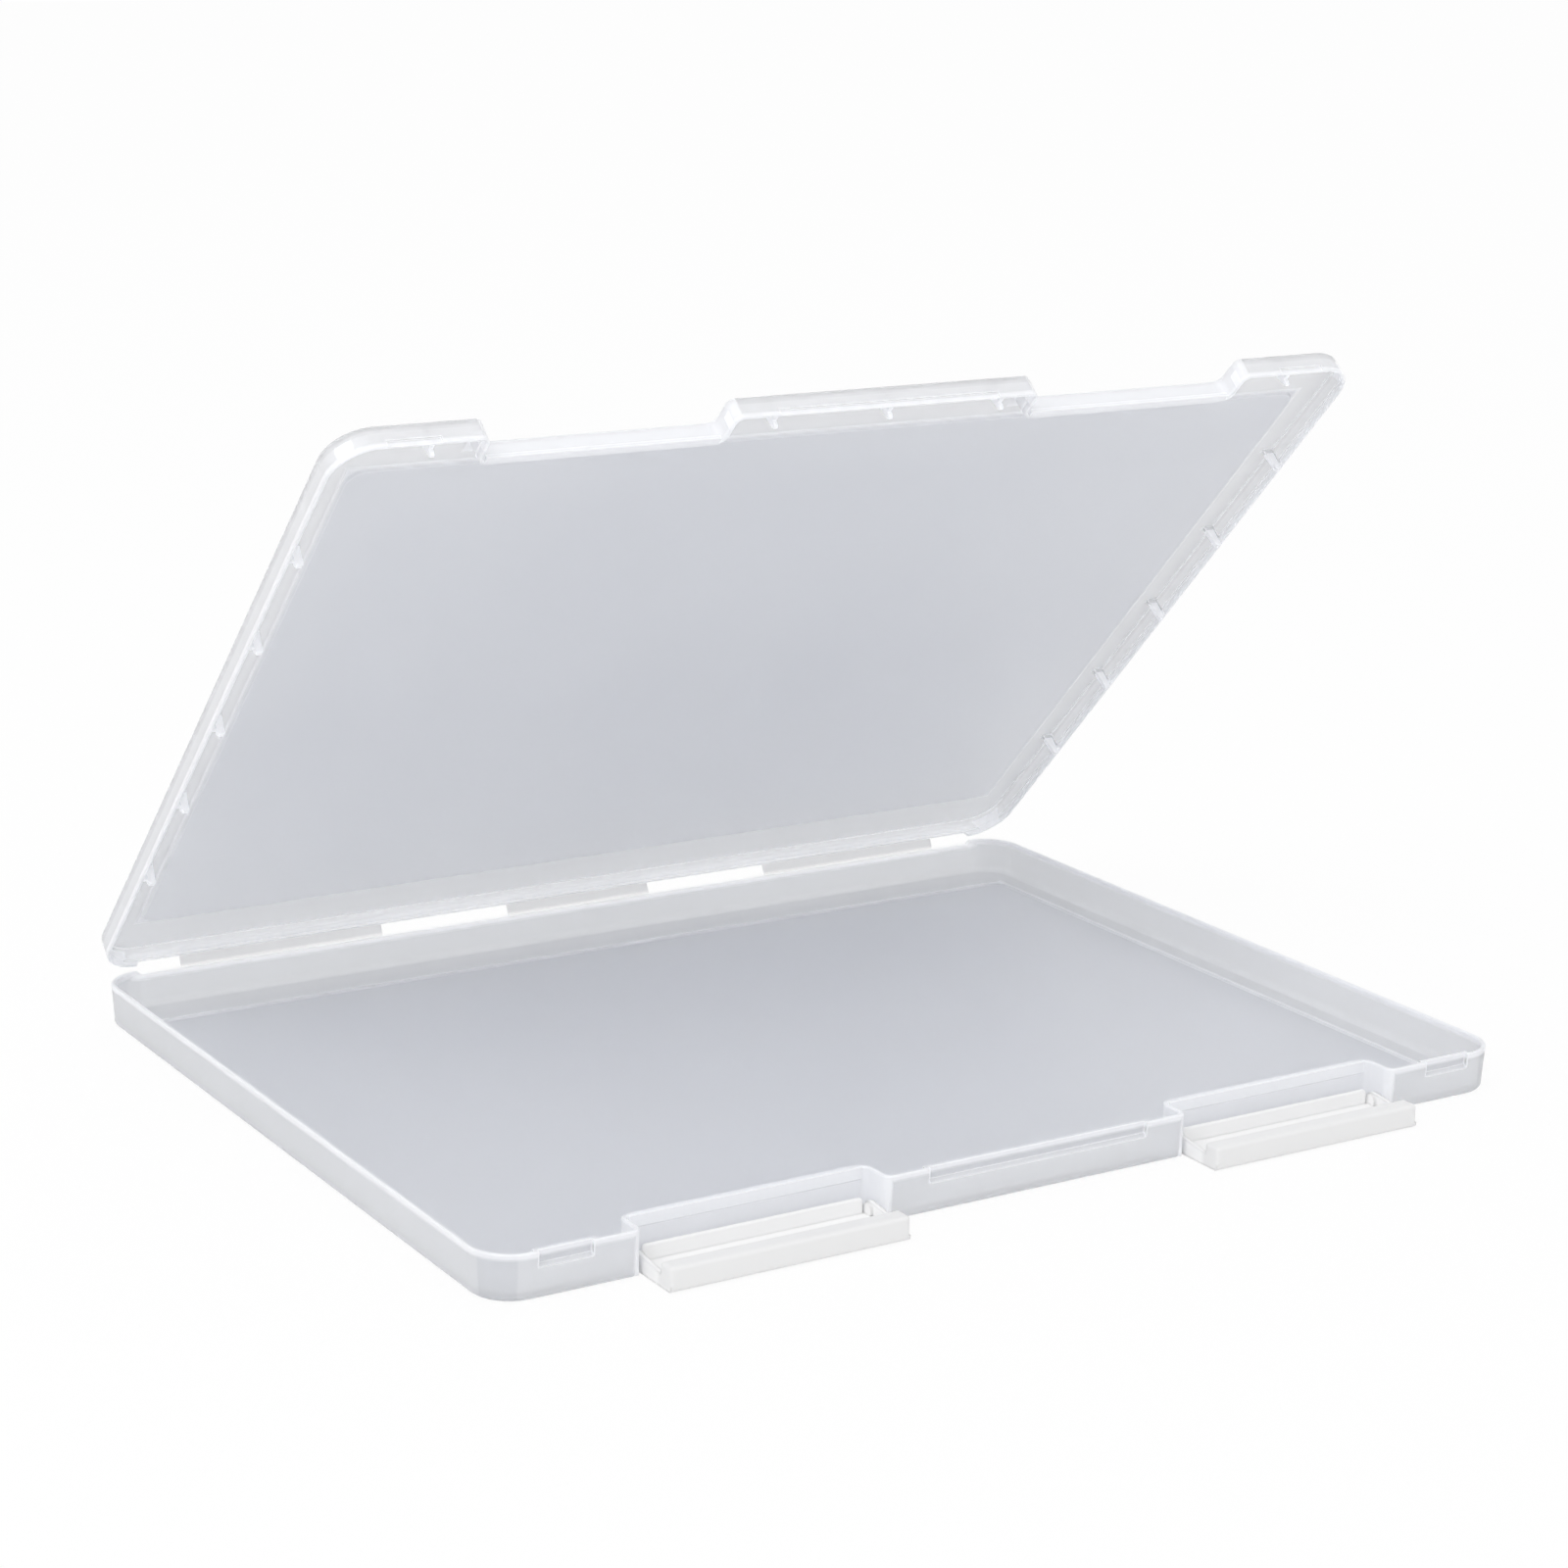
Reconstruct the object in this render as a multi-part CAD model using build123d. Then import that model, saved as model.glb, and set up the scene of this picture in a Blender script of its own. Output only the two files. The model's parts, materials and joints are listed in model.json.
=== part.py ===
"""File storage box: a shallow tray and lid joined by hinge webs, shut by two swing latches.

All sizes are in millimetres. X runs along the long side, Y towards the hinge, Z up.
The origin is the middle of the tray's underside. Every piece is drawn with the case
shut and is then turned about its own crease or pivot to the stored pose, in which the
lid leans open and both latches lie folded down in front of the tray.
"""

import math
import os

from build123d import *

# Closed case
length = 332.0
depth = 258.0
tray_height = 13.0
lid_height = 7.4
seam_gap = 0.2
corner_radius = 12.5
wall = 1.4
draft = 3.5
rim_chamfer = 0.3

# Tray floor
floor_thickness = 1.3
floor_step = 0.6
foot_radius = 1.6
floor_fillet = 2.0

# Lid panel, whose field is sunk a little inside a plain border
panel_thickness = 1.3
panel_step = 0.8
lid_draft = 2.0
lid_edge_radius = 1.2
lip_height = 2.0
lip_step = 0.3
border_side = 10.0
border_front = 17.0
field_radius = 6.0
field_slope = 45.0

# Latch recesses, cut into the front of both tray and lid
recess_margin = 43.5
recess_width = 72.8
recess_depth = 10.5
post_radius = 3.0
recess_corner_radius = 2.5

# Finger rebates along the front of tray and lid
grip_gap = 14.0
tray_grip_height = 3.3
tray_grip_depth = 1.3
grip_skin = 1.0
lid_grip_height = 2.0
lid_grip_depth = 0.4

# Thickened rims inside the recesses
tray_band_height = 4.0
tray_band_depth = 0.8
catch_height = 1.2
catch_reach = 2.0
catch_grip = 0.6

# Locating ribs inside the lid skirt
rib_thickness = 1.3
rib_root = 4.0
rib_tip = 2.7
rib_reach = 1.6
rib_lead = 0.9
side_rib_clearance = 0.6
front_rib_clearance = 0.5
outer_rib_gap = 16.8
inner_rib_gap = 12.8
side_rib_first = 53.0
side_rib_pitch = 39.4
side_rib_count = 5

# Living hinge: three webs, each between a lower and an upper crease
lid_angle = 46.5
web_length = 4.7
web_thickness = 0.7
crease_drop = 1.6
crease_clearance = 0.05
middle_web_width = 52.0
outer_web_width = 68.0
web_margin = 27.0
tray_relief = 1.3
lid_relief = 1.6
relief_margin = 12.0
relief_slope = 1.3
land_height = 0.8

# Latches
latch_depth = 6.7
latch_face = 1.5
latch_end_wall = 1.4
latch_floor = 1.3
latch_floor_reach = 5.8
latch_end_reach = 5.0
latch_arm_reach = 3.4
latch_side_gap = 0.6
latch_top_gap = 0.1
latch_ground_gap = 0.2
bar_height = 5.8
bar_edge_radius = 1.0
plate_corner_radius = 1.2
plate_edge_radius = 0.4
pivot_to_heel = 2.2
pivot_radius = 1.5
pivot_clearance = 0.08
pivot_overshoot = 0.3
ear_boss = 0.7
slit_width = 1.2

# Places that follow from the sizes above
front = -depth / 2
back = depth / 2
rim_z = tray_height + seam_gap
top_z = rim_z + lid_height
panel_under_z = top_z - panel_thickness
recess_y = front + recess_depth
recess_outer = length / 2 - recess_margin
recess_inner = recess_outer - recess_width
latch_centre = (recess_outer + recess_inner) / 2
web_outer = length / 2 - web_margin
web_inner = web_outer - outer_web_width
crease_y = back + web_thickness / 2 + crease_clearance
crease_low_z = tray_height - crease_drop
crease_high_z = crease_low_z + web_length
latch_front_y = recess_y - catch_reach + catch_grip - latch_depth
ear_radius = latch_end_reach / 2
pivot_y = latch_front_y + ear_radius
pivot_z = ear_radius + latch_ground_gap
latch_bottom_z = pivot_z - pivot_to_heel
latch_top_z = top_z - latch_top_gap
latch_length = recess_width - 2 * latch_side_gap


def block(x_range, y_range, z_range):
    """A plain box between two values along each axis."""
    size = [high - low for low, high in (x_range, y_range, z_range)]
    middle = [(high + low) / 2 for low, high in (x_range, y_range, z_range)]
    return Pos(*middle) * Box(*size)


def prism_along_x(points, x_low, x_high):
    """A prism along X over a closed outline of (y, z) points."""
    profile = Plane.YZ * make_face(Polyline(*points, close=True))
    return Pos(x_low, 0, 0) * extrude(profile, amount=x_high - x_low, dir=(1, 0, 0))


def plan():
    """Outline of the case seen from above, with the two latch recesses in its front."""
    outline = RectangleRounded(length, depth, corner_radius)
    for side in (-1, 1):
        mouth = Rectangle(recess_width, 2 * recess_depth)
        outline -= Pos(side * latch_centre, front) * mouth
    mouths = [v for v in outline.vertices() if abs(v.Y - front) < 0.01]
    posts = [v for v in mouths if abs(v.X) < recess_outer + 0.01]
    outline = fillet(posts, post_radius)
    corners = [v for v in outline.vertices() if abs(v.Y - recess_y) < 0.01]
    return fillet(corners, recess_corner_radius)


def drafted(z_wide, height, angle, inset):
    """Rounded block that narrows away from its wide face at z_wide."""
    face = RectangleRounded(length - 2 * inset, depth - 2 * inset, corner_radius - inset)
    return Pos(0, 0, z_wide) * extrude(face, amount=height, taper=angle)


def column(outline, z_low, z_high):
    """The plan outline carried straight up between two heights."""
    return Pos(0, 0, z_low) * extrude(outline, amount=z_high - z_low)


def field(z_low, z_high):
    """Field inside the border of the lid panel or of the tray floor, narrower at the bottom."""
    face = RectangleRounded(length - 2 * border_side, depth - 2 * border_front, field_radius)
    return Pos(0, 0, z_high) * extrude(face, amount=z_low - z_high, taper=field_slope)


def soft_rim(shape, height):
    """Break the edges of the rim that lie at one height."""
    rim = [edge for edge in shape.edges() if all(abs(v.Z - height) < 0.001 for v in edge.vertices())]
    return chamfer(rim, rim_chamfer)


def recess_spans():
    """X ranges of the two latch recesses."""
    return [(-recess_outer, -recess_inner), (recess_inner, recess_outer)]


def grip_spans():
    """X ranges of the finger rebates, which stop short of each corner and post."""
    inner = recess_inner - grip_gap
    outer_low = recess_outer + grip_gap
    outer_high = length / 2 - grip_gap
    return [(-outer_high, -outer_low), (-inner, inner), (outer_low, outer_high)]


def web_spans():
    """X range of each hinge web by name."""
    half_middle = middle_web_width / 2
    return {
        "hinge_web_left": (-web_outer, -web_inner),
        "hinge_web_middle": (-half_middle, half_middle),
        "hinge_web_right": (web_inner, web_outer),
    }


def relief(z_edge, z_floor):
    """Wedge-ended cutter that lowers the back wall between the corners."""
    half = length / 2 - relief_margin
    inner = half - relief_slope
    points = [(-half, z_edge), (-inner, z_floor), (inner, z_floor), (half, z_edge)]
    profile = Plane.XZ * make_face(Polyline(*points, close=True))
    return Pos(0, back + wall, 0) * extrude(profile, amount=3 * wall, dir=(0, -1, 0))


def tray_shell():
    """Open tray: drafted walls, a stepped floor and the two recesses."""
    outline = plan()
    body = drafted(tray_height, -tray_height, draft, 0)
    body = fillet(body.faces().sort_by(Axis.Z)[0].edges(), foot_radius)
    body &= column(outline, 0, tray_height)
    floor_z = floor_thickness + floor_step
    cavity = drafted(tray_height, floor_z - tray_height, draft, wall)
    cavity = fillet(cavity.faces().sort_by(Axis.Z)[0].edges(), floor_fillet)
    cavity &= column(offset(outline, amount=-wall), floor_z, tray_height)
    return soft_rim(body - cavity, tray_height) - field(floor_thickness, floor_z)


def tray_grips():
    """Pads that keep the front wall thick behind its rebates, and the rebates themselves."""
    pads = []
    cuts = []
    ledge = tray_height - tray_grip_height
    for low, high in grip_spans():
        pad_x = (low - grip_skin, high + grip_skin)
        pad_y = (front + wall / 2, front + tray_grip_depth + grip_skin)
        pad_z = (ledge - tray_grip_depth - grip_skin, tray_height)
        pads.append(block(pad_x, pad_y, pad_z))
        profile = [
            (front - wall, tray_height + wall),
            (front - wall, ledge - tray_grip_depth - wall),
            (front + tray_grip_depth, ledge),
            (front + tray_grip_depth, tray_height + wall),
        ]
        cuts.append(prism_along_x(profile, low, high))
    return pads, cuts


def tray_bands():
    """Thicker rim along the top of each recess wall, chamfered underneath."""
    low_z = tray_height - tray_band_height
    profile = [
        (recess_y + wall / 2, tray_height),
        (recess_y - tray_band_depth, tray_height),
        (recess_y - tray_band_depth, low_z + tray_band_depth),
        (recess_y, low_z),
        (recess_y + wall / 2, low_z),
    ]
    inset = recess_corner_radius / 2
    return [prism_along_x(profile, low + inset, high - inset) for low, high in recess_spans()]


def hinge_lands(z_low):
    """Small shelves on a back wall, one beside the bead of each web."""
    y_range = (back - wall / 2, crease_y + web_thickness / 2)
    return [block(span, y_range, (z_low, z_low + land_height)) for span in web_spans().values()]


def pivot_holes():
    """Bores through the recess end walls that hold the latch pivots."""
    holes = []
    for low, high in recess_spans():
        reach = 2 * wall + pivot_overshoot
        for start in (low - reach, high - wall / 2):
            bore = Cylinder(pivot_radius + pivot_clearance, reach + wall / 2, rotation=(0, 90, 0))
            centre = start + (reach + wall / 2) / 2
            holes.append(Pos(centre, pivot_y, pivot_z) * bore)
    return holes


def make_tray():
    """The tray, with rebates, recess rims, hinge lands and pivot holes."""
    body = tray_shell()
    pads, cuts = tray_grips()
    land_z = crease_low_z - web_thickness / 2 - crease_clearance - land_height
    for extra in pads + tray_bands() + hinge_lands(land_z):
        body += extra
    for cut in cuts + pivot_holes() + [relief(tray_height, tray_height - tray_relief)]:
        body -= cut
    return body


def rib_profile(clearance):
    """Rib outline as (distance in from the skirt, height) points."""
    tip_z = rim_z - rib_reach
    return [
        (-wall / 2, panel_under_z + panel_thickness / 2),
        (-wall / 2, rim_z + seam_gap),
        (clearance, rim_z + seam_gap),
        (clearance, tip_z + rib_lead),
        (clearance + rib_lead / 2, tip_z),
        (rib_tip - rib_lead / 3, tip_z),
        (rib_tip, tip_z + rib_lead / 2),
        (rib_root, panel_under_z + panel_thickness / 2),
    ]


def front_ribs():
    """Five ribs behind the front skirt."""
    skirt = front + wall
    clearance = tray_grip_depth + grip_skin - wall + front_rib_clearance
    points = [(skirt + inward, z) for inward, z in rib_profile(clearance)]
    outer = recess_outer + outer_rib_gap
    inner = recess_inner - inner_rib_gap
    places = (-outer, -inner, 0.0, inner, outer)
    half = rib_thickness / 2
    return [prism_along_x(points, x - half, x + half) for x in places]


def side_ribs():
    """Five ribs along each side skirt."""
    ribs = []
    skirt = length / 2 - wall
    for side in (-1, 1):
        points = [(side * (skirt - inward), z) for inward, z in rib_profile(side_rib_clearance)]
        profile = Plane.XZ * make_face(Polyline(*points, close=True))
        slab = extrude(profile, amount=rib_thickness, dir=(0, -1, 0))
        for index in range(side_rib_count):
            y = back - side_rib_first - index * side_rib_pitch
            ribs.append(Pos(0, y + rib_thickness / 2, 0) * slab)
    return ribs


def lid_shell():
    """Lid skirt and panel, the panel's field sunk inside its border."""
    outline = plan()
    body = drafted(rim_z, lid_height, lid_draft, 0) & column(outline, rim_z, top_z)
    body = fillet(body.faces().sort_by(Axis.Z)[-1].edges(), lid_edge_radius)
    cavity = drafted(rim_z, lid_height - panel_thickness, lid_draft, wall)
    cavity &= column(offset(outline, amount=-wall), rim_z, panel_under_z)
    cavity -= field(panel_under_z - panel_step, panel_under_z)
    lip_wall = wall - lip_step
    lip = drafted(rim_z, lip_height, lid_draft, lip_wall)
    lip &= column(offset(outline, amount=-lip_wall), rim_z, rim_z + lip_height)
    return soft_rim(body - cavity - lip, rim_z) - field(top_z - panel_step, top_z)


def lid_grips():
    """Shallow rebates along the rim of the front skirt."""
    return [
        block((low, high), (front - wall, front + lid_grip_depth), (rim_z, rim_z + lid_grip_height))
        for low, high in grip_spans()
    ]


def catches():
    """Ledge at the rim of each recess, which the latch bar closes over."""
    inset = recess_corner_radius / 2
    y_range = (recess_y - catch_reach, recess_y + wall / 2)
    z_range = (rim_z, rim_z + catch_height)
    return [block((low + inset, high - inset), y_range, z_range) for low, high in recess_spans()]


def make_lid():
    """The lid, drawn shut and then swung open on its two creases."""
    body = lid_shell()
    land_z = crease_high_z + web_thickness / 2 + crease_clearance
    for extra in front_ribs() + side_ribs() + catches() + hinge_lands(land_z):
        body += extra
    for cut in lid_grips() + [relief(rim_z, rim_z + lid_relief)]:
        body -= cut
    return swing_lid(body)


def swing_lid(shape):
    """Turn a shape drawn on the shut lid to the stored pose."""
    fold = math.radians(lid_angle / 2)
    turned = shape.rotate(Axis((0, crease_y, crease_high_z), (-1, 0, 0)), lid_angle)
    return turned.translate((0, web_length * math.sin(fold), web_length * (math.cos(fold) - 1)))


def make_web(span):
    """One hinge web: a thin strip whose rounded edges lie on the two creases."""
    low, high = span
    strip = SlotCenterToCenter(web_length, web_thickness, rotation=90)
    middle_z = (crease_low_z + crease_high_z) / 2
    face = Plane.YZ * Pos(crease_y, middle_z) * strip
    shut = Pos(low, 0, 0) * extrude(face, amount=high - low, dir=(1, 0, 0))
    return shut.rotate(Axis((0, crease_y, crease_low_z), (-1, 0, 0)), lid_angle / 2)


def latch_plate(low, high):
    """Thin plate of the latch, which lies under the shut latch and stands upright when it is open."""
    plate_y = (latch_front_y + bar_edge_radius, latch_front_y + latch_floor_reach)
    plate = block((low, high), plate_y, (latch_bottom_z, latch_bottom_z + latch_floor))
    free_corners = plate.edges().filter_by(Axis.Z).group_by(Axis.Y)[-1]
    plate = fillet(free_corners, plate_corner_radius)
    return fillet(plate.faces().sort_by(Axis.Y)[-1].edges().filter_by(Axis.X), plate_edge_radius)


def latch_end(outer, side):
    """End wall of a latch: a round ear about the pivot, its boss and pin, and an arm up to the bar."""
    inner = outer - side * latch_end_wall
    arm_top = latch_top_z - bar_height + bar_edge_radius
    arm = [
        (latch_front_y, pivot_z),
        (latch_front_y + latch_end_reach, pivot_z),
        (latch_front_y + latch_arm_reach, arm_top),
        (latch_front_y, arm_top),
    ]
    wall_solid = prism_along_x(arm, *sorted((outer, inner)))
    pin_end = outer + side * (latch_side_gap + wall + pivot_overshoot)
    for radius, start, stop in (
        (ear_radius, inner, outer),
        (ear_radius - plate_edge_radius, inner - side * ear_boss, outer),
        (pivot_radius, inner, pin_end),
    ):
        disc = Cylinder(radius, abs(stop - start), rotation=(0, 90, 0))
        wall_solid += Pos((start + stop) / 2, pivot_y, pivot_z) * disc
    return wall_solid


def make_latch(centre):
    """One swing latch: outer face, plate, end walls with pivots, and hook bar."""
    low = centre - latch_length / 2
    high = centre + latch_length / 2
    face = block((low, high), (latch_front_y, latch_front_y + latch_face), (latch_bottom_z, latch_top_z))
    body = fillet(face.edges().filter_by(Axis.X).group_by(Axis.Y)[0], bar_edge_radius)
    plate_inset = latch_end_wall + slit_width
    body += latch_plate(low + plate_inset, high - plate_inset)
    bar_y = (latch_front_y, latch_front_y + latch_depth)
    bar = block((low, high), bar_y, (latch_top_z - bar_height, latch_top_z))
    body += fillet(bar.edges(), bar_edge_radius)
    body += latch_end(low, -1) + latch_end(high, 1)
    return body.rotate(Axis((0, pivot_y, pivot_z), (1, 0, 0)), 90)


def main():
    """Write one file for each piece of the box."""
    pieces = {
        "base_tray": make_tray(),
        "lid": make_lid(),
        "latch_left": make_latch(-latch_centre),
        "latch_right": make_latch(latch_centre),
    }
    for name, span in web_spans().items():
        pieces[name] = make_web(span)
    os.makedirs("parts", exist_ok=True)
    for name, shape in pieces.items():
        export_step(shape, f"parts/{name}.step")


main()
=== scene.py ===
"""Dresses the file storage box: frosted tray and lid, clear hinge webs and white latches."""

import json
import logging
import math
from dataclasses import dataclass
from enum import Enum
from typing import Any, Iterable, Mapping, Sequence

import bpy
from mathutils import Matrix, Vector

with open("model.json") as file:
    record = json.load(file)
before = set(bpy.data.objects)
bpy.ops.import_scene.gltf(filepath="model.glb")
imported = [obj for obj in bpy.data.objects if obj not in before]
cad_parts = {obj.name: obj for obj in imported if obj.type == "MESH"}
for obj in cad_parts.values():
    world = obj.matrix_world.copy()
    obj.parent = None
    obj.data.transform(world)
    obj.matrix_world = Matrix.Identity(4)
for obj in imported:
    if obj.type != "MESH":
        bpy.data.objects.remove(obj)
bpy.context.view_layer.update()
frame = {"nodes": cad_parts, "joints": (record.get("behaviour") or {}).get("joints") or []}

log = logging.getLogger("file_box")

MM = 0.001
BLACK = (0.0, 0.0, 0.0)
WHITE = (1.0, 1.0, 1.0)
MIX_LOW, MIX_HIGH, MIX_RESULT = 6, 7, 2  # places of a Mix node's colour sockets
EDGE_SAMPLES = 6
EDGE_TURN = 0.14
Colour = tuple[float, float, float]
Point = tuple[float, float, float]
Span = tuple[float, float]


class Shell(Enum):
    """Which of the two shells a region belongs to."""

    TRAY = "tray"
    LID = "lid"


class Value:
    """A number socket that can stand in a Python expression."""

    def __init__(self, graph: "Graph", socket: bpy.types.NodeSocket) -> None:
        """Wrap a socket of a graph.

        Args:
            graph: The graph that the socket belongs to.
            socket: An output socket that carries a number.
        """
        self.graph = graph
        self.socket = socket

    def _maths(self, operation: str, *terms: Any, clamp: bool = False) -> "Value":
        """Add one Math node.

        Args:
            operation: The Math node's operation.
            terms: Values or numbers, in the order of the node's inputs.
            clamp: Whether the result is kept between 0 and 1.

        Returns:
            The node's result.
        """
        settings = {"operation": operation, "use_clamp": clamp}
        return self.graph.value("ShaderNodeMath", settings, dict(enumerate(terms)))

    def __add__(self, other: Any) -> "Value":
        """Sum of two values."""
        return self._maths("ADD", self, other)

    def __radd__(self, other: Any) -> "Value":
        """Sum with a number on the left."""
        return self._maths("ADD", other, self)

    def __sub__(self, other: Any) -> "Value":
        """Difference of two values."""
        return self._maths("SUBTRACT", self, other)

    def __rsub__(self, other: Any) -> "Value":
        """Difference from a number on the left."""
        return self._maths("SUBTRACT", other, self)

    def __mul__(self, other: Any) -> "Value":
        """Product of two values."""
        return self._maths("MULTIPLY", self, other)

    def __rmul__(self, other: Any) -> "Value":
        """Product with a number on the left."""
        return self._maths("MULTIPLY", other, self)

    def __pow__(self, other: Any) -> "Value":
        """This value raised to a power."""
        return self._maths("POWER", self, other)

    def absolute(self) -> "Value":
        """The value without its sign."""
        return self._maths("ABSOLUTE", self)

    def smaller(self, other: Any) -> "Value":
        """The smaller of two values."""
        return self._maths("MINIMUM", self, other)

    def larger(self, other: Any) -> "Value":
        """The larger of two values."""
        return self._maths("MAXIMUM", self, other)

    def clamped(self) -> "Value":
        """The value kept between 0 and 1."""
        return self._maths("ADD", self, 0.0, clamp=True)

    def ramp(self, low: float, high: float) -> "Value":
        """Rise from 0 at low to 1 at high, eased at both ends.

        Args:
            low: Value at which the result is 0.
            high: Value at which the result is 1.

        Returns:
            The eased result.
        """
        settings = {"interpolation_type": "SMOOTHSTEP"}
        inputs = {"Value": self, "From Min": low, "From Max": high}
        return self.graph.value("ShaderNodeMapRange", settings, inputs)


class Graph:
    """The node tree of a material or of the world."""

    def __init__(self, tree: bpy.types.NodeTree) -> None:
        """Start from an emptied tree.

        Args:
            tree: The node tree to fill.
        """
        self.tree = tree
        tree.nodes.clear()

    def node(self, kind: str, settings: Mapping[str, Any], inputs: Mapping[Any, Any]) -> bpy.types.Node:
        """Add one node, set it up and feed it.

        Args:
            kind: The node's type.
            settings: Attributes that are set before the sockets.
            inputs: Values or links, by the name or place of the input socket.

        Returns:
            The new node.
        """
        made = self.tree.nodes.new(kind)
        for name, setting in settings.items():
            setattr(made, name, setting)
        for key, given in inputs.items():
            self.feed(made.inputs[key], given)
        return made

    def feed(self, socket: bpy.types.NodeSocket, given: Any) -> None:
        """Link a socket or set its value.

        Args:
            socket: The input socket.
            given: A value, an output socket, a colour, a vector or a number.
        """
        if isinstance(given, Value):
            self.tree.links.new(given.socket, socket)
        elif isinstance(given, bpy.types.NodeSocket):
            self.tree.links.new(given, socket)
        elif isinstance(given, (tuple, list)) and len(socket.default_value) == 4 and len(given) == 3:
            socket.default_value = (*given, 1.0)
        else:
            socket.default_value = given

    def value(
        self, kind: str, settings: Mapping[str, Any], inputs: Mapping[Any, Any], output: Any = 0
    ) -> Value:
        """Add a node and wrap one of its outputs as a number.

        Args:
            kind: The node's type.
            settings: Attributes that are set before the sockets.
            inputs: Values or links of its inputs.
            output: Name or place of the output.

        Returns:
            The wrapped output.
        """
        return Value(self, self.node(kind, settings, inputs).outputs[output])

    def place(self) -> bpy.types.NodeSocket:
        """Coordinates fixed to the piece, in metres of the frame at rest."""
        return self.node("ShaderNodeTexCoord", {}, {}).outputs["Object"]

    def split(self, vector: Any) -> tuple[Value, Value, Value]:
        """The three parts of a vector.

        Args:
            vector: A vector socket.

        Returns:
            Its X, Y and Z.
        """
        parts = self.node("ShaderNodeSeparateXYZ", {}, {0: vector}).outputs
        return Value(self, parts[0]), Value(self, parts[1]), Value(self, parts[2])

    def noise(self, vector: Any, scale: float, detail: float = 2.0, roughness: float = 0.5) -> Value:
        """Smooth noise from 0 to 1.

        Args:
            vector: The coordinates it follows.
            scale: Features per metre.
            detail: Octaves of finer noise.
            roughness: Strength of the finer octaves.

        Returns:
            The noise.
        """
        inputs = {"Vector": vector, "Scale": scale, "Detail": detail, "Roughness": roughness}
        return self.value("ShaderNodeTexNoise", {}, inputs)

    def stretched(self, vector: Any, factors: Point) -> bpy.types.NodeSocket:
        """A vector with each part multiplied by its own factor."""
        inputs = {0: vector, 1: factors}
        return self.node("ShaderNodeVectorMath", {"operation": "MULTIPLY"}, inputs).outputs[0]

    def colour(self, low: Any, high: Any, mask: Any) -> bpy.types.NodeSocket:
        """Mix two colours.

        Args:
            low: Colour where the mask is 0.
            high: Colour where the mask is 1.
            mask: A value from 0 to 1.

        Returns:
            The mixed colour.
        """
        inputs = {"Factor": mask, MIX_LOW: low, MIX_HIGH: high}
        return self.node("ShaderNodeMix", {"data_type": "RGBA"}, inputs).outputs[MIX_RESULT]

    def edges(self, radius: float) -> tuple[Any, Value]:
        """Rounded normal, and a mask that is 1 on sharp edges and 0 on open faces.

        Args:
            radius: How far from an edge the rounding reaches, in metres.

        Returns:
            The rounded normal and the mask.
        """
        rounded = self.node("ShaderNodeBevel", {"samples": EDGE_SAMPLES}, {"Radius": radius}).outputs[0]
        flat = self.node("ShaderNodeNewGeometry", {}, {}).outputs["Normal"]
        inputs = {0: rounded, 1: flat}
        aligned = self.value("ShaderNodeVectorMath", {"operation": "DOT_PRODUCT"}, inputs, "Value")
        return rounded, (1 - aligned).ramp(0.0, EDGE_TURN)

    def bumped(
        self, height: Value, distance: float, strength: float, normal: Any = None
    ) -> bpy.types.NodeSocket:
        """Normal of a surface raised by a height.

        Args:
            height: Height from 0 to 1.
            distance: Real height of 1, in metres.
            strength: Share of the bump that shows.
            normal: A normal to start from, if any.

        Returns:
            The bumped normal.
        """
        inputs = {"Height": height, "Distance": distance, "Strength": strength}
        if normal is not None:
            inputs["Normal"] = normal
        return self.node("ShaderNodeBump", {}, inputs).outputs[0]

    def finish(self, shader: Any) -> None:
        """Join a shader to the material's output."""
        self.node("ShaderNodeOutputMaterial", {}, {"Surface": shader})


def new_material(name: str) -> tuple[bpy.types.Material, Graph]:
    """Make an empty node material.

    Args:
        name: The material's name.

    Returns:
        The material and its emptied graph.
    """
    material = bpy.data.materials.new(name)
    material.use_nodes = True
    return material, Graph(material.node_tree)


def from_axis(y: Value, z: Value, axis: Span) -> Value:
    """Distance from an axis that runs along X.

    Args:
        y: Places along Y.
        z: Places along Z.
        axis: Y and Z of the axis.

    Returns:
        The distance, in metres.
    """
    return ((y - axis[0]) ** 2.0 + (z - axis[1]) ** 2.0) ** 0.5


def dress(nodes: Iterable[str], material: bpy.types.Material) -> None:
    """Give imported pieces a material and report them.

    Args:
        nodes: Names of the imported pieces.
        material: The finish that they take.
    """
    for name in nodes:
        piece = frame["nodes"][name]
        piece.data.materials.clear()
        piece.data.materials.append(material)
        log.info("dressed %s in %s", name, material.name)


@dataclass(frozen=True)
class Relief:
    """A fine unevenness that moulding leaves in a surface."""

    scale: float
    height: float
    detail: float = 2.0
    roughness: float = 0.6
    strength: float = 0.5

    def pattern(self, graph: Graph, place: Any) -> Value:
        """The unevenness as a value from 0 to 1."""
        return graph.noise(place, self.scale, self.detail, self.roughness)

    def raised(self, graph: Graph, pattern: Value, normal: Any = None) -> bpy.types.NodeSocket:
        """Normal of the uneven surface, laid over another normal if one is given."""
        return graph.bumped(pattern, self.height, self.strength, normal)


@dataclass(frozen=True)
class Zones:
    """Masks of a shell: field, painted field shade, painted inner shade, hinge side, creases and
    painted highlights.
    """

    field: Value
    painted_field_shade: Value
    painted_inner_shade: Value
    hinge: Value
    crease: Value
    painted_highlight: Value


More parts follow.
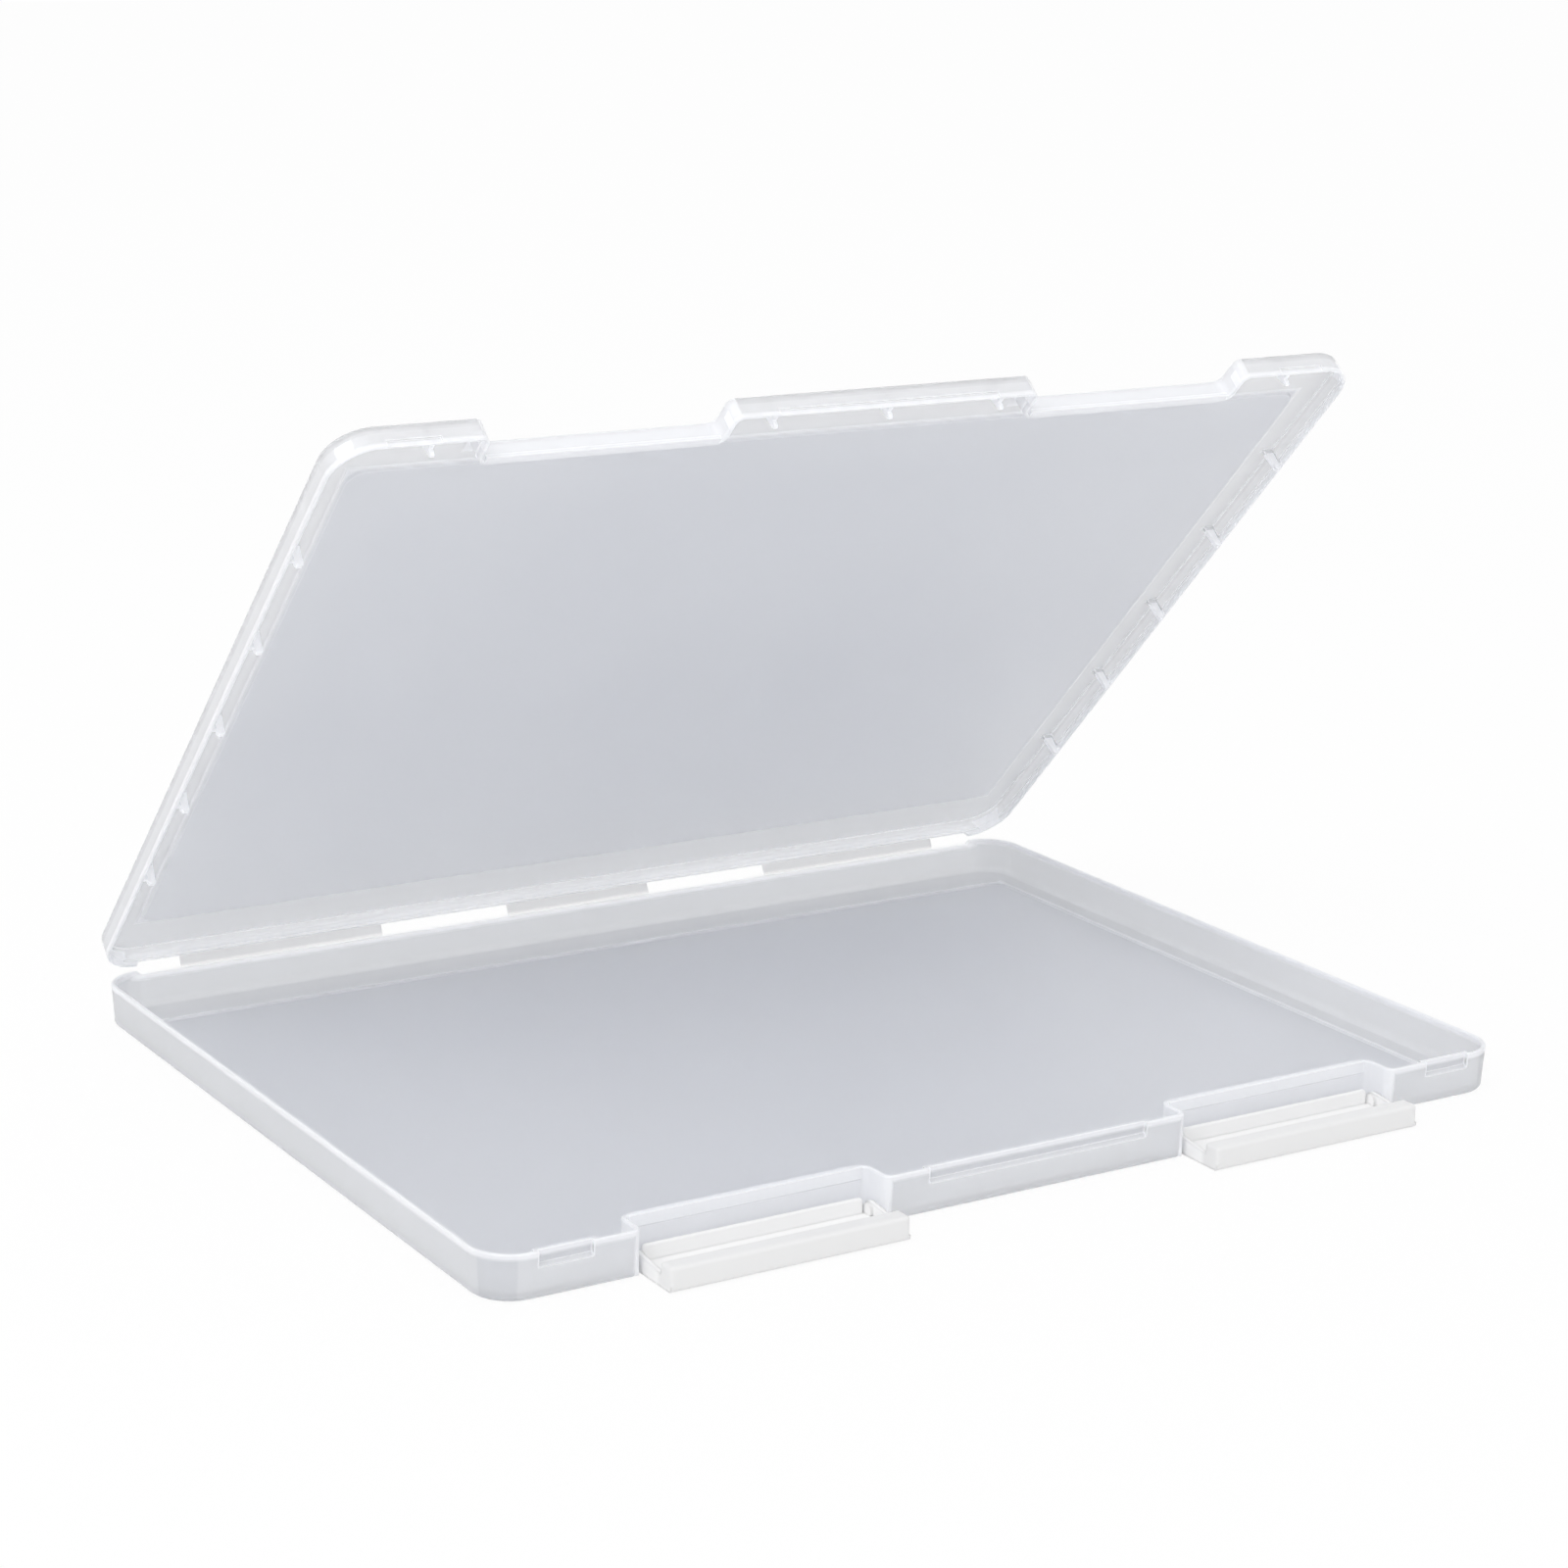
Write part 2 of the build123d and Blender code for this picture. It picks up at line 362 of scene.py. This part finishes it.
@dataclass(frozen=True)
class Region:
    """Where the zones of a shell lie, in the coordinates of the shut case."""

    crease: Span
    shell: Shell = Shell.TRAY
    half_length: float = 166 * MM
    half_width: float = 129 * MM
    field_length: float = 156 * MM
    field_width: float = 112 * MM
    # Reach of the painted shade that darkens the field towards its middle.
    field_fade: float = 26 * MM
    field_edge: Span = (-0.2 * MM, 0.6 * MM)
    seam: float = 13.1 * MM
    # Where the painted highlights lie: rim band, field edge line, latch recesses, and the lid's lower
    # skirt and ribs.
    rim_range: Span = (1.0 * MM, 2.2 * MM)
    line_range: Span = (0.3 * MM, 1.3 * MM)
    panel: float = 17.8 * MM
    panel_blur: float = 0.3 * MM
    recess_middle: float = 86.1 * MM
    recess_reach: float = 38.6 * MM
    recess_back: float = -115.8 * MM
    recess_blur: float = 0.4 * MM
    skirt_range: Span = (2.0 * MM, 2.4 * MM)
    rib_range: Span = (5.0 * MM, 6.0 * MM)
    # Where the painted shade on the inner faces begins.
    painted_inner_shade_range: Span = (0.6 * MM, 0.9 * MM)
    draft: float = 0.061
    # Strengths of the painted highlights; the crease share also sets the painted glow along the crease.
    rim_share: float = 0.7
    recess_share: float = 0.75
    skirt_share: float = 0.12
    line_share: float = 0.45
    crease_share: float = 0.9
    crease_range: Span = (1.7 * MM, 2.7 * MM)
    pivot: Point = (0.0, 0.0, 0.0)
    shut_pivot: Point = (0.0, 0.0, 0.0)
    turn: float = 0.0

    def shut_place(self, graph: Graph, place: Any) -> tuple[Value, Value, Value]:
        """Coordinates that the shell has when the case is shut.

        Args:
            graph: The graph to add the nodes to.
            place: Coordinates fixed to the shell.

        Returns:
            X, Y and Z of the shut case.
        """
        settings = {"rotation_type": "X_AXIS"}
        inputs = {"Vector": place, "Center": self.pivot, "Angle": math.radians(self.turn)}
        turned = graph.node("ShaderNodeVectorRotate", settings, inputs).outputs[0]
        x, y, z = graph.split(turned)
        return x, y + (self.shut_pivot[1] - self.pivot[1]), z + (self.shut_pivot[2] - self.pivot[2])

    def masks(self, graph: Graph, place: Any) -> Zones:
        """Masks of the field, the painted inner shade, the creases and the painted highlights.

        Args:
            graph: The graph to add the nodes to.
            place: Coordinates fixed to the shell.

        Returns:
            The masks, each from 0 to 1.
        """
        x, y, z = self.shut_place(graph, place)
        inside = (self.field_length - x.absolute()).smaller(self.field_width - y.absolute())
        # Bands of painted highlight: rim, latch recess and field edge line.
        rim = 1 - (z - self.seam).absolute().ramp(*self.rim_range)
        along = self.recess_reach - (x.absolute() - self.recess_middle).absolute()
        recess = along.smaller(self.recess_back - y).ramp(-self.recess_blur, self.recess_blur)
        line = 1 - inside.absolute().ramp(*self.line_range)
        # Near the crease axis the shell gets a painted highlight and a painted glow.
        near_crease = 1 - from_axis(y, z, self.crease).ramp(*self.crease_range)
        inward = (self.half_length - x.absolute()).smaller(self.half_width - y.absolute())
        # Painted shade on the inner faces of the walls.
        painted_inner_shade = (inward - self.draft * (self.seam - z).absolute()).ramp(*self.painted_inner_shade_range)
        # Painted highlight: the strongest of these bands.
        painted_highlight = (self.rim_share * rim).larger(self.recess_share * recess)
        painted_highlight = painted_highlight.larger(self.line_share * line).larger(self.crease_share * near_crease)
        if self.shell is Shell.LID:
            # Painted highlight on the lid's lower skirt, strongest on its ribs.
            low = 1 - z.ramp(self.panel - self.panel_blur, self.panel + self.panel_blur)
            rib = inward.ramp(*self.skirt_range) * (1 - inward.ramp(*self.rib_range))
            painted_highlight = painted_highlight.larger(low * (self.skirt_share + (1 - self.skirt_share) * rib))
        hinge = y.ramp(0.0, self.half_width)
        crisp = inside.ramp(*self.field_edge)
        # The second field mask is painted shade, darker towards the field's middle.
        return Zones(crisp, inside.ramp(0.0, self.field_fade), painted_inner_shade, hinge, near_crease, painted_highlight)


@dataclass(frozen=True)
class FrostedPlastic:
    """Translucent moulded polypropylene: milky walls, a field with its own texture, painted shade, and
    painted highlights that glow on edges and rims.
    """

    name: str = "frosted_polypropylene"
    wall: Colour = (0.97, 0.975, 0.985)
    field: Colour = (0.86, 0.875, 0.915)
    # The inner-face colours, clear and milky, are painted shade.
    painted_inner_shade: Colour = (0.90, 0.91, 0.93)
    wall_skin: Colour = (0.95, 0.96, 0.98)
    painted_inner_shade_skin: Colour = (0.83, 0.84, 0.87)
    field_skin: Colour = (0.80, 0.815, 0.855)
    # Colour of the painted highlights, also used for the painted light towards the hinge.
    painted_highlight: Colour = (0.97, 0.98, 1.0)
    # Painted glow: light that the highlights, and more the crease band, give off.
    glow: Colour = (0.09, 0.09, 0.095)
    painted_crease_glow: Colour = (0.15, 0.15, 0.145)
    # Painted light: how far the milky skin is lightened towards the hinge side.
    painted_light_toward_hinge: float = 0.0
    wall_milk: float = 0.5
    field_milk: float = 0.45
    clear_index: float = 1.25
    milk_index: float = 1.49
    milk_transmission: float = 0.25
    clear_roughness: float = 0.22
    clear_grain: float = 0.05
    field_roughness: float = 0.20
    milk_roughness: float = 0.42
    milk_grain: float = 0.10
    cloud_scale: float = 11.0
    cloud_detail: float = 3.0
    cloud_range: Span = (0.3, 0.75)
    cloud_milk: float = 0.05
    texture_base: float = 0.75
    # Weight of the painted shade towards the field's middle.
    painted_field_shade_share: float = 0.15
    texture_cloud: float = 0.10
    grain: Relief = Relief(scale=1500.0, height=0.02 * MM)
    wave: Relief = Relief(scale=16.0, height=0.3 * MM, detail=1.0, roughness=0.4, strength=0.4)
    edge_radius: float = 1.0 * MM

    def make(self, region: Region) -> bpy.types.Material:
        """Build the material.

        Args:
            region: Where the zones of the shell lie.

        Returns:
            The new material.
        """
        material, graph = new_material(self.name)
        place = graph.place()
        zones = region.masks(graph, place)
        # Sharp edges also get the painted highlight.
        _, edge = graph.edges(self.edge_radius)
        painted_highlight = zones.painted_highlight.larger(edge)
        cloud = graph.noise(place, self.cloud_scale, self.cloud_detail).ramp(*self.cloud_range)
        # The field's own texture and random clouds, with painted shade towards its middle.
        field_texture_and_shade = self.texture_base + self.painted_field_shade_share * zones.painted_field_shade + self.texture_cloud * cloud
        field_texture_and_shade = zones.field * field_texture_and_shade
        grain = self.grain.pattern(graph, place)
        waved = self.wave.raised(graph, self.wave.pattern(graph, place))
        normal = self.grain.raised(graph, grain, waved)
        # Painted shade on the inner faces.
        wall = graph.colour(self.wall, self.painted_inner_shade, zones.painted_inner_shade)
        clear_roughness = self.clear_roughness + self.field_roughness * zones.field
        clear_inputs = {
            "Base Color": graph.colour(wall, self.field, field_texture_and_shade),
            "Roughness": clear_roughness + self.clear_grain * grain,
            "IOR": self.clear_index,
            "Transmission Weight": 1.0,
            "Normal": normal,
        }
        clear = graph.node("ShaderNodeBsdfPrincipled", {}, clear_inputs).outputs[0]
        skin = graph.colour(self.wall_skin, self.painted_inner_shade_skin, zones.painted_inner_shade)
        skin = graph.colour(skin, self.field_skin, field_texture_and_shade)
        # Painted light: the milky skin is lightened towards the hinge side.
        skin = graph.colour(skin, self.painted_highlight, self.painted_light_toward_hinge * zones.hinge)
        # Painted glow on the highlights, stronger along the crease.
        glow = graph.colour(BLACK, self.glow, painted_highlight)
        milk_inputs = {
            # Painted highlight in the milky skin.
            "Base Color": graph.colour(skin, self.painted_highlight, painted_highlight),
            "Roughness": self.milk_roughness + self.milk_grain * grain,
            "IOR": self.milk_index,
            "Transmission Weight": self.milk_transmission,
            "Emission Color": graph.colour(glow, self.painted_crease_glow, region.crease_share * zones.crease),
            "Emission Strength": 1.0,
            "Normal": normal,
        }
        milk = graph.node("ShaderNodeBsdfPrincipled", {}, milk_inputs).outputs[0]
        share = self.wall_milk + (self.field_milk - self.wall_milk) * field_texture_and_shade + self.cloud_milk * cloud
        # Painted highlights are fully milky.
        share = share + (1 - share) * painted_highlight
        graph.finish(graph.node("ShaderNodeMixShader", {}, {0: share, 1: clear, 2: milk}).outputs[0])
        return material


@dataclass(frozen=True)
class LatchPlastic:
    """Opaque white polypropylene with a soft satin skin, painted shade that greys the bar and painted
    highlights on the edges.
    """

    name: str = "latch_polypropylene"
    plate: Colour = (0.945, 0.945, 0.947)
    # Painted shade: the bar is greyer than the plate.
    bar_painted_shade: Colour = (0.83, 0.83, 0.832)
    # Colour of the painted highlight along the edges.
    edge: Colour = (0.97, 0.97, 0.97)
    bar_range: Span = (134.5 * MM, 136.5 * MM)
    edge_highlight_share: float = 0.6
    index: float = 1.49
    roughness: float = 0.38
    grain_roughness: float = 0.08
    depth: float = 2.0 * MM
    depth_share: float = 0.15
    grain: Relief = Relief(scale=1800.0, height=0.02 * MM)
    edge_radius: float = 1.2 * MM

    def make(self) -> bpy.types.Material:
        """Build the material.

        Returns:
            The new material.
        """
        material, graph = new_material(self.name)
        place = graph.place()
        rounded, edge = graph.edges(self.edge_radius)
        _, y, _ = graph.split(place)
        # Painted shade over the bar, past the plate.
        bar_shade_mask = (0 - y).ramp(*self.bar_range)
        body = graph.colour(self.plate, self.bar_painted_shade, bar_shade_mask)
        grain = self.grain.pattern(graph, place)
        inputs = {
            # Painted highlight along the edges.
            "Base Color": graph.colour(body, self.edge, self.edge_highlight_share * edge),
            "Roughness": self.roughness + self.grain_roughness * grain,
            "IOR": self.index,
            "Subsurface Weight": self.depth_share,
            "Subsurface Radius": (self.depth, self.depth, self.depth),
            "Normal": self.grain.raised(graph, grain, rounded),
        }
        graph.finish(graph.node("ShaderNodeBsdfPrincipled", {}, inputs).outputs[0])
        return material


@dataclass(frozen=True)
class HingePlastic:
    """Thin polypropylene web, whitened where it bends, partly by stress whitening and partly by painted
    highlight, with a painted glow there.
    """

    name: str = "hinge_polypropylene"
    body: Colour = (0.92, 0.92, 0.93)
    # Crease colour: partly stress whitening, partly painted highlight.
    crease: Colour = (1.0, 0.995, 0.985)
    # Painted glow along the creases.
    glow: Colour = (0.08, 0.08, 0.078)
    index: float = 1.2
    transmission: float = 0.55
    crease_range: Span = (0.3 * MM, 1.3 * MM)
    roughness: float = 0.30
    crease_roughness: float = 0.15
    strain: Relief = Relief(scale=2200.0, height=0.03 * MM, detail=3.0, roughness=0.5)
    strain_stretch: Point = (1.0, 0.15, 0.15)

    def make(self, creases: Sequence[Point]) -> bpy.types.Material:
        """Build the material.

        Args:
            creases: A point on the lower and one on the upper crease axis, in the frame at rest.

        Returns:
            The new material.
        """
        material, graph = new_material(self.name)
        place = graph.place()
        _, y, z = graph.split(place)
        lower, upper = (from_axis(y, z, point[1:]) for point in creases)
        near_crease = 1 - lower.smaller(upper).ramp(*self.crease_range)
        strain = self.strain.pattern(graph, graph.stretched(place, self.strain_stretch))
        inputs = {
            # Whiter along the creases: partly stress whitening, partly painted highlight.
            "Base Color": graph.colour(self.body, self.crease, near_crease),
            "Roughness": self.roughness + self.crease_roughness * near_crease,
            "IOR": self.index,
            "Transmission Weight": self.transmission,
            # Painted glow along the creases.
            "Emission Color": graph.colour(BLACK, self.glow, near_crease),
            "Emission Strength": 1.0,
            "Normal": self.strain.raised(graph, strain),
        }
        graph.finish(graph.node("ShaderNodeBsdfPrincipled", {}, inputs).outputs[0])
        return material


@dataclass
class Case:
    """Tray, lid and hinge webs."""

    lid_angle: float = 46.5
    web_height: float = 4.7 * MM
    webs: tuple[str, ...] = ("hinge_web_left", "hinge_web_middle", "hinge_web_right")
    tray_finish: FrostedPlastic = FrostedPlastic()
    lid_finish: FrostedPlastic = FrostedPlastic(
        name="frosted_polypropylene_lid",
        # The lid's painted inner shade is lighter than the tray's.
        painted_inner_shade=(0.95, 0.955, 0.97),
        wall_skin=(0.96, 0.965, 0.98),
        painted_inner_shade_skin=(0.95, 0.955, 0.97),
        # Painted light towards the hinge, on the lid only.
        painted_light_toward_hinge=1.0,
        field_milk=0.47,
    )
    web_finish: HingePlastic = HingePlastic()

    def creases(self) -> list[Point]:
        """A point on each crease axis, read from the frame's joints."""
        joints = {joint["name"]: joint for joint in frame["joints"]}
        return [tuple(joints[name]["pos_m"]) for name in ("lower_crease", "upper_crease")]

    def build(self) -> None:
        """Dress the shells and the webs."""
        lower, opened = self.creases()
        shut = (0.0, lower[1], lower[2] + self.web_height)
        lid_region = Region(
            shell=Shell.LID,
            # Weaker painted highlights in the lid's recess and along its crease.
            recess_share=0.6,
            crease=shut[1:],
            crease_share=0.5,
            pivot=opened,
            shut_pivot=shut,
            turn=self.lid_angle,
        )
        dress(("base_tray",), self.tray_finish.make(Region(crease=lower[1:])))
        dress(("lid",), self.lid_finish.make(lid_region))
        dress(self.webs, self.web_finish.make(self.creases()))


@dataclass
class Latches:
    """The two swing latches."""

    nodes: tuple[str, ...] = ("latch_left", "latch_right")
    finish: LatchPlastic = LatchPlastic()

    def build(self) -> None:
        """Dress both latches."""
        dress(self.nodes, self.finish.make())


@dataclass
class Studio:
    """Pale floor, soft light and the camera."""

    camera_place: Point = (-0.54033, -0.86026, 0.35348)
    camera_heading: float = 32.005
    camera_dip: float = 14.922
    camera_roll: float = 0.991
    camera_lens: float = 82.491
    sensor: float = 36.0
    clip: Span = (0.01, 100.0)
    floor_size: float = 12.0
    floor_gap: float = 0.2 * MM
    floor_colour: Colour = (0.92, 0.92, 0.92)
    floor_glow: float = 0.92
    world_light: float = 0.86
    lamp_aim: Point = (0.0, 0.0, 0.05)
    key_place: Point = (-1.2, -0.6, 1.6)
    key_size: float = 1.2
    key_power: float = 10.0
    fill_place: Point = (0.3, -1.6, 0.7)
    fill_size: float = 1.0
    fill_power: float = 1.2

    def build_camera(self) -> None:
        """Place the camera where the photograph was taken from."""
        heading = math.radians(self.camera_heading)
        dip = math.radians(self.camera_dip)
        across = math.cos(dip)
        forward = Vector((math.sin(heading) * across, math.cos(heading) * across, -math.sin(dip)))
        level = forward.cross(Vector((0, 0, 1))).normalized()
        upright = level.cross(forward)
        roll = math.radians(self.camera_roll)
        right = level * math.cos(roll) + upright * math.sin(roll)
        up = right.cross(forward)
        data = bpy.data.cameras.new("camera")
        data.sensor_width = self.sensor
        data.lens = self.camera_lens
        data.clip_start, data.clip_end = self.clip
        camera = bpy.data.objects.new("camera", data)
        turn = Matrix((right, up, -forward)).transposed().to_4x4()
        camera.matrix_world = Matrix.Translation(self.camera_place) @ turn
        bpy.context.scene.collection.objects.link(camera)
        bpy.context.scene.camera = camera

    def seen(self, graph: Graph) -> Value:
        """Mask of the rays that show the background: camera, glossy and transmitted ones.

        Args:
            graph: The graph to add the nodes to.

        Returns:
            The mask, 1 on those rays and 0 on the others.
        """
        rays = graph.node("ShaderNodeLightPath", {}, {}).outputs
        names = ("Is Camera Ray", "Is Glossy Ray", "Is Transmission Ray")
        first, second, third = (Value(graph, rays[name]) for name in names)
        return (first + second + third).clamped()

    def build_world(self) -> None:
        """White surroundings, a little dimmer as light than as background."""
        world = bpy.data.worlds.new("studio")
        world.use_nodes = True
        bpy.context.scene.world = world
        graph = Graph(world.node_tree)
        strength = self.world_light + (1.0 - self.world_light) * self.seen(graph)
        shader = graph.node("ShaderNodeBackground", {}, {"Color": WHITE, "Strength": strength})
        graph.node("ShaderNodeOutputWorld", {}, {"Surface": shader.outputs[0]})

    def build_floor(self) -> None:
        """Pale floor that keeps a faint shadow of the case."""
        half = self.floor_size / 2
        mesh = bpy.data.meshes.new("floor")
        corners = [(-half, -half, 0), (half, -half, 0), (half, half, 0), (-half, half, 0)]
        mesh.from_pydata(corners, [], [(0, 1, 2, 3)])
        floor = bpy.data.objects.new("floor", mesh)
        floor.location.z = -self.floor_gap
        bpy.context.scene.collection.objects.link(floor)
        material, graph = new_material("pale_floor")
        paper = graph.node("ShaderNodeBsdfDiffuse", {}, {"Color": self.floor_colour}).outputs[0]
        glow = graph.node("ShaderNodeEmission", {}, {"Color": WHITE, "Strength": 1.0}).outputs[0]
        share = self.floor_glow * self.seen(graph)
        graph.finish(graph.node("ShaderNodeMixShader", {}, {0: share, 1: paper, 2: glow}).outputs[0])
        mesh.materials.append(material)

    def lamp(self, name: str, place: Point, size: float, power: float) -> None:
        """A soft square lamp that faces the case.

        Args:
            name: The lamp's name.
            place: Where it hangs.
            size: Length of its side.
            power: Its power in watts.
        """
        data = bpy.data.lights.new(name, "AREA")
        data.size = size
        data.energy = power
        lamp = bpy.data.objects.new(name, data)
        lamp.location = place
        aim = Vector(self.lamp_aim) - Vector(place)
        lamp.rotation_euler = aim.to_track_quat("-Z", "Y").to_euler()
        bpy.context.scene.collection.objects.link(lamp)

    def build(self) -> None:
        """Set up the camera, the world, the floor and the lamps."""
        bpy.context.scene.view_settings.view_transform = "Standard"
        self.build_camera()
        self.build_world()
        self.build_floor()
        self.lamp("key", self.key_place, self.key_size, self.key_power)
        self.lamp("fill", self.fill_place, self.fill_size, self.fill_power)


def main() -> None:
    """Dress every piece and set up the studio."""
    logging.basicConfig(level=logging.INFO)
    Studio().build()
    Case().build()
    Latches().build()


if __name__ == "__main__":
    main()
